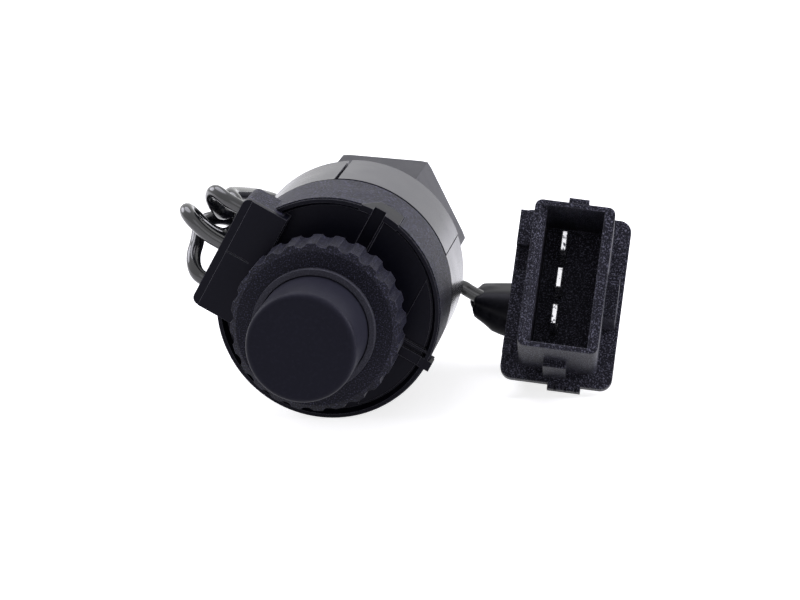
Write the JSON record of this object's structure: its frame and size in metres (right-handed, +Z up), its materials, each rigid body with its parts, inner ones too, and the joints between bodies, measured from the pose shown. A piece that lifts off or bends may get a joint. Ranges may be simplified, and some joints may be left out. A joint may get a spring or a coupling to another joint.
{
  "type": "vehicle speed sensor",
  "caption": "Driven speed sensor with a hex union nut, a round drum, a knurled cap nut with blanking plug, three loose leads and a flat blade connector in a rubber boot.",
  "frame": {"origin": "centre of the union nut's mouth, on the sensor's axis", "axes": "+Y along the sensor's axis out of the union nut's mouth, towards the gearbox; +Z up as the sensor lies on its drum; +X to the right, towards the connector"},
  "size_m": [0.0601, 0.0716, 0.0322],
  "materials": {
    "textured_plastic": "fine spark-eroded texture",
    "smooth_plastic": "smooth satin moulding",
    "connector_plastic": "coarse spark-eroded texture",
    "white_plastic": "plain moulding",
    "seal_rubber": "matt",
    "boot_rubber": "soft satin rubber",
    "lead_sheath": "glossy extruded sheath",
    "steel": "turned",
    "spring_steel": "phosphated",
    "bronze": "sintered",
    "ferrite": "ground ferrite",
    "board": "solder mask",
    "components": "moulded packages",
    "tin_plate": "bright tin plate"
  },
  "bodies": {
    "housing": {"nut_retainer": "spring_steel", "rear_housing": "smooth_plastic", "access_panel": "smooth_plastic", "front_housing": "textured_plastic", "front_cover": "smooth_plastic", "housing_gasket": "seal_rubber", "rear_bush": "bronze", "front_bush": "bronze", "thrust_washer": "steel", "circuit_board": "board", "board_parts": "components", "hall_sensor": "components", "solder_pins": "tin_plate", "lead_comb": "seal_rubber", "connector_housing": "connector_plastic", "terminal_lock": "connector_plastic", "connector_boot": "boot_rubber", "blade_1": "tin_plate", "blade_2": "tin_plate", "blade_3": "tin_plate", "lead_1": "lead_sheath", "lead_2": "lead_sheath", "lead_3": "lead_sheath"},
    "nut": {"union_nut": "textured_plastic"},
    "rotor": {"rotor_shaft": "steel", "shaft_circlip": "spring_steel", "magnet_hub": "white_plastic", "ring_magnet": "ferrite"},
    "plug": {"blanking_plug": "smooth_plastic", "plug_seal": "seal_rubber"},
    "cap_nut": {"knurled_nut": "textured_plastic"}
  },
  "joints": [
    {"name": "union_nut_spin", "type": "hinge", "parent": "housing", "child": "nut", "pos_m": [0, -0.0082, 0], "axis": [0, 1, 0], "continuous": true},
    {"name": "rotor_spin", "type": "hinge", "parent": "housing", "child": "rotor", "pos_m": [0, -0.03, 0], "axis": [0, 1, 0], "continuous": true},
    {"name": "plug_lift", "type": "slide", "parent": "housing", "child": "plug", "axis": [0, -1, 0], "range_m": [0, 0.006]},
    {"name": "cap_nut_turn", "type": "hinge", "parent": "plug", "child": "cap_nut", "pos_m": [0, -0.057, 0], "axis": [0, -1, 0], "range_deg": [0, 1441]}
  ],
  "couplings": [
    {"joint": "cap_nut_turn", "follows": "plug_lift", "rad_per_m": 4188.8}
  ]
}
